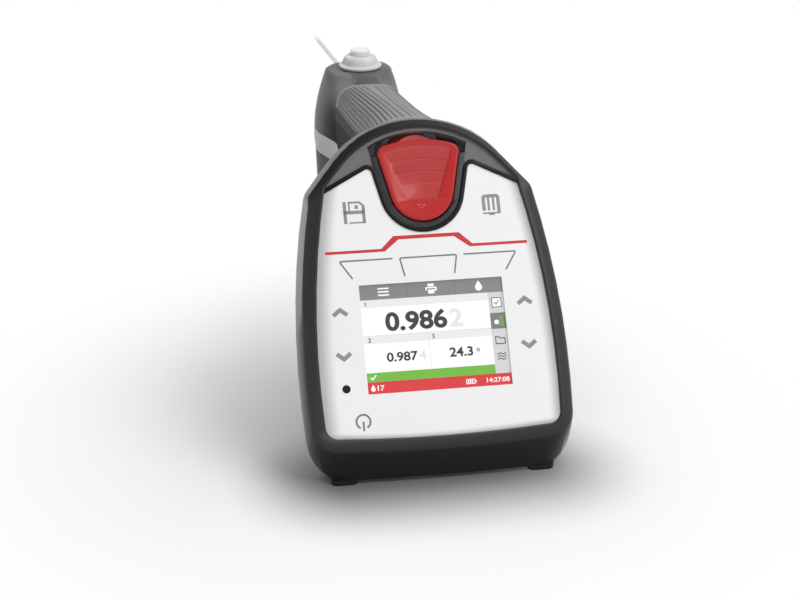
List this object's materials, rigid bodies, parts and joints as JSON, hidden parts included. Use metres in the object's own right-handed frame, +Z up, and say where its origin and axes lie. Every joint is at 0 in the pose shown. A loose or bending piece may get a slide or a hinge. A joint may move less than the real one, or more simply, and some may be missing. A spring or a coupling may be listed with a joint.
{
  "type": "portable density meter",
  "caption": "Hand-held density meter: tilted display head with membrane keys and a red thumb pump, ribbed grip, and a nose leg with a rinsing port, filling tube and glass cell.",
  "frame": {"origin": "on the table, at the centre of the rear foot's underside below the rinsing port's axis", "axes": "+X to the user's right, +Y from the head to the nose, +Z up"},
  "size_m": [0.103, 0.3714, 0.1185],
  "materials": {
    "bumper": "soft matte moulded elastomer",
    "housing": "dark grey moulded plastic, fine texture",
    "grip": "mid grey soft-touch ribbed cover",
    "nose": "grey moulded plastic, fine texture",
    "collar": "light grey moulded band",
    "foil": "white printed front foil, satin",
    "black_rubber": "black rubber",
    "glass": "clear",
    "display": "colour display",
    "board": "green circuit board",
    "steel": "bright steel",
    "sensor": "black window",
    "battery": "plain cell jacket",
    "red": "glossy red moulded plastic",
    "white_plastic": "white plastic",
    "grey_plastic": "grey plastic",
    "hose": "translucent silicone",
    "copper": "enamelled copper wire",
    "nut": "dark plastic, fluted"
  },
  "bodies": {
    "housing": {"bumper_frame": "bumper", "rear_shell": "housing", "grip_shell": "housing", "leg_shell": "housing", "cylinder_cap": "housing", "grip_cover": "grip", "nose_shell": "nose", "thumb_well": "nose", "front_plate": "nose", "cell_collar": "collar", "keypad_foil": "foil", "panel_gasket": "black_rubber", "front_feet": "black_rubber", "rear_foot": "black_rubber", "display_window": "glass", "measuring_cell": "glass", "lcd_module": "display", "main_board": "board", "cell_board": "board", "key_switches": "steel", "housing_screws": "steel", "battery_contacts": "steel", "return_spring": "steel", "cell_magnet": "steel", "light_sensor": "sensor", "battery_cells": "battery", "guide_bush": "white_plastic", "pump_cylinder": "white_plastic", "cell_block": "white_plastic", "inlet_fitting": "white_plastic", "port_seat": "grey_plastic", "inner_hose": "hose", "exciter_coil": "copper"},
    "pump": {"pump_button": "red", "plunger_sleeve": "red", "piston_rod": "steel", "piston": "white_plastic", "piston_seal": "black_rubber"},
    "port_plug": {"port_plug": "white_plastic", "plug_seal": "black_rubber"},
    "port_cap": {"port_cap": "grey_plastic"},
    "filling_tube": {"filling_tube": "glass", "tube_ferrule": "white_plastic"},
    "tube_nut": {"tube_nut": "nut"},
    "battery_door": {"battery_door": "housing"},
    "key_save": {"key_save": "white_plastic"},
    "key_list": {"key_list": "white_plastic"},
    "key_soft_left": {"key_soft_left": "white_plastic"},
    "key_soft_middle": {"key_soft_middle": "white_plastic"},
    "key_soft_right": {"key_soft_right": "white_plastic"},
    "key_up_left": {"key_up_left": "white_plastic"},
    "key_up_right": {"key_up_right": "white_plastic"},
    "key_down_left": {"key_down_left": "white_plastic"},
    "key_down_right": {"key_down_right": "white_plastic"},
    "key_power": {"key_power": "white_plastic"}
  },
  "joints": [
    {"name": "pump_press", "type": "slide", "parent": "housing", "child": "pump", "axis": [0, 0.9877, -0.1564], "range_m": [0, 0.01], "stiffness_N_per_m": 400, "springref_m": -0.006, "deforming": ["return_spring"]},
    {"name": "plug_lift", "type": "slide", "parent": "housing", "child": "port_plug", "axis": [0, 0, 1], "range_m": [0, 0.0035]},
    {"name": "cap_turn", "type": "hinge", "parent": "port_plug", "child": "port_cap", "pos_m": [0, 0, 0.1], "axis": [0, 0, 1], "range_deg": [0, 720]},
    {"name": "tube_pull", "type": "slide", "parent": "housing", "child": "filling_tube", "axis": [0, 0.9951, -0.0993], "range_m": [0, 0.0025]},
    {"name": "nut_turn", "type": "hinge", "parent": "filling_tube", "child": "tube_nut", "pos_m": [0, 0.028, 0.0874], "axis": [0, 0.9951, -0.0993], "range_deg": [0, 720]},
    {"name": "door_slide", "type": "slide", "parent": "housing", "child": "battery_door", "axis": [0, 0.5548, 0.832], "range_m": [0, 0.014]},
    {"name": "press_save", "type": "slide", "parent": "housing", "child": "key_save", "axis": [0, 0.832, -0.5548], "range_m": [0, 0.0003], "stiffness_N_per_m": 300, "springref_m": -0.0005},
    {"name": "press_list", "type": "slide", "parent": "housing", "child": "key_list", "axis": [0, 0.832, -0.5548], "range_m": [0, 0.0003], "stiffness_N_per_m": 300, "springref_m": -0.0005},
    {"name": "press_soft_left", "type": "slide", "parent": "housing", "child": "key_soft_left", "axis": [0, 0.832, -0.5548], "range_m": [0, 0.0003], "stiffness_N_per_m": 300, "springref_m": -0.0005},
    {"name": "press_soft_middle", "type": "slide", "parent": "housing", "child": "key_soft_middle", "axis": [0, 0.832, -0.5548], "range_m": [0, 0.0003], "stiffness_N_per_m": 300, "springref_m": -0.0005},
    {"name": "press_soft_right", "type": "slide", "parent": "housing", "child": "key_soft_right", "axis": [0, 0.832, -0.5548], "range_m": [0, 0.0003], "stiffness_N_per_m": 300, "springref_m": -0.0005},
    {"name": "press_up_left", "type": "slide", "parent": "housing", "child": "key_up_left", "axis": [0, 0.832, -0.5548], "range_m": [0, 0.0003], "stiffness_N_per_m": 300, "springref_m": -0.0005},
    {"name": "press_up_right", "type": "slide", "parent": "housing", "child": "key_up_right", "axis": [0, 0.832, -0.5548], "range_m": [0, 0.0003], "stiffness_N_per_m": 300, "springref_m": -0.0005},
    {"name": "press_down_left", "type": "slide", "parent": "housing", "child": "key_down_left", "axis": [0, 0.832, -0.5548], "range_m": [0, 0.0003], "stiffness_N_per_m": 300, "springref_m": -0.0005},
    {"name": "press_down_right", "type": "slide", "parent": "housing", "child": "key_down_right", "axis": [0, 0.832, -0.5548], "range_m": [0, 0.0003], "stiffness_N_per_m": 300, "springref_m": -0.0005},
    {"name": "press_power", "type": "slide", "parent": "housing", "child": "key_power", "axis": [0, 0.832, -0.5548], "range_m": [0, 0.0003], "stiffness_N_per_m": 300, "springref_m": -0.0005}
  ],
  "couplings": [
    {"joint": "cap_turn", "follows": "plug_lift", "rad_per_m": 3590.4},
    {"joint": "nut_turn", "follows": "tube_pull", "rad_per_m": 5026.5}
  ]
}
